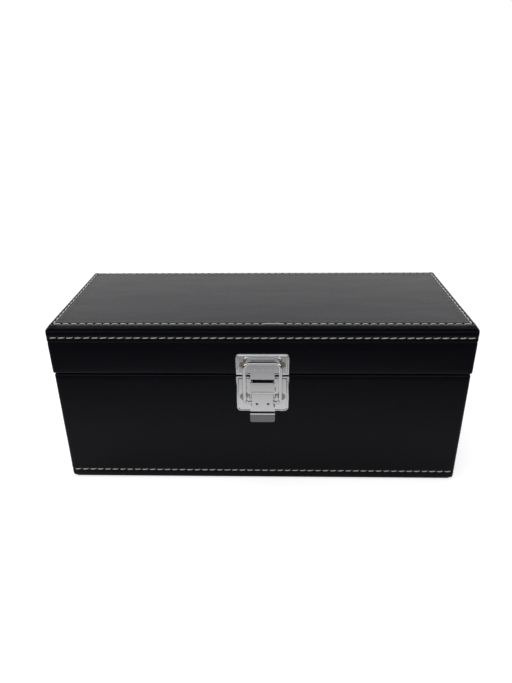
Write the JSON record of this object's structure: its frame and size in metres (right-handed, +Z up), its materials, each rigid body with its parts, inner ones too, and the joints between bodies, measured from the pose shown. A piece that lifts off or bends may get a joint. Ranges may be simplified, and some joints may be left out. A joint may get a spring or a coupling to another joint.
{
  "type": "coin display case",
  "caption": "Leatherette-covered box with a hinged lid, a velvet rack slotted for upright coin holders, and a lever latch with a wire bail on the front.",
  "frame": {"origin": "middle of the face that the case stands on, with the latch's lever and bail left out of the reckoning", "axes": "+Z up, +X along the case's width, -Y out of the front, where the latch is; the hinges are at +Y"},
  "size_m": [0.244, 0.1131, 0.105],
  "materials": {
    "leatherette": "satin",
    "board": "matte",
    "velvet": "matte",
    "chrome": "polished",
    "pin_steel": "satin",
    "screw_steel": "satin"
  },
  "bodies": {
    "base": {"base_bottom_board": "board", "base_front_board": "board", "base_back_board": "board", "base_left_board": "board", "base_right_board": "board", "base_cover": "leatherette", "base_sole": "leatherette", "base_lining": "velvet", "floor_pad": "velvet", "rack_strip_front": "velvet", "rack_strip_back": "velvet", "dividers_front": "velvet", "dividers_back": "velvet", "hinge_base_leaf_left": "chrome", "hinge_base_leaf_right": "chrome", "hinge_pin_left": "pin_steel", "hinge_pin_right": "pin_steel", "hinge_base_screws": "screw_steel", "latch_plate": "chrome", "latch_bracket": "chrome", "latch_pivot_pin": "pin_steel", "latch_plate_screws": "screw_steel"},
    "lid": {"lid_top_board": "board", "lid_front_board": "board", "lid_back_board": "board", "lid_left_board": "board", "lid_right_board": "board", "lid_band": "leatherette", "lid_top_cover": "leatherette", "lid_lining": "velvet", "lid_pad": "velvet", "hinge_lid_leaf_left": "chrome", "hinge_lid_leaf_right": "chrome", "hinge_lid_screws": "screw_steel", "keeper_plate": "chrome", "keeper_hook": "chrome", "keeper_screws": "screw_steel"},
    "lever": {"latch_lever": "chrome"},
    "bail_pin": {"bail_pin": "pin_steel"},
    "bail": {"latch_bail": "chrome"}
  },
  "joints": [
    {"name": "lid_hinge", "type": "hinge", "parent": "base", "child": "lid", "pos_m": [0, 0.0514, 0.076], "axis": [-1, 0, 0], "range_deg": [0, 104]},
    {"name": "lever_pivot", "type": "hinge", "parent": "base", "child": "lever", "pos_m": [0.0012, -0.0545, 0.0644], "axis": [-1, 0, 0], "range_deg": [0, 100]},
    {"name": "bail_pin_turn", "type": "hinge", "parent": "lever", "child": "bail_pin", "pos_m": [0.0012, -0.05445, 0.0602], "axis": [-1, 0, 0], "range_deg": [-100, 0]},
    {"name": "bail_swing", "type": "hinge", "parent": "bail_pin", "child": "bail", "pos_m": [0.0012, -0.05445, 0.0602], "axis": [1, 0, 0], "range_deg": [-6.4, 150]}
  ],
  "couplings": [
    {"joint": "bail_pin_turn", "follows": "lever_pivot", "ratio": -1}
  ]
}
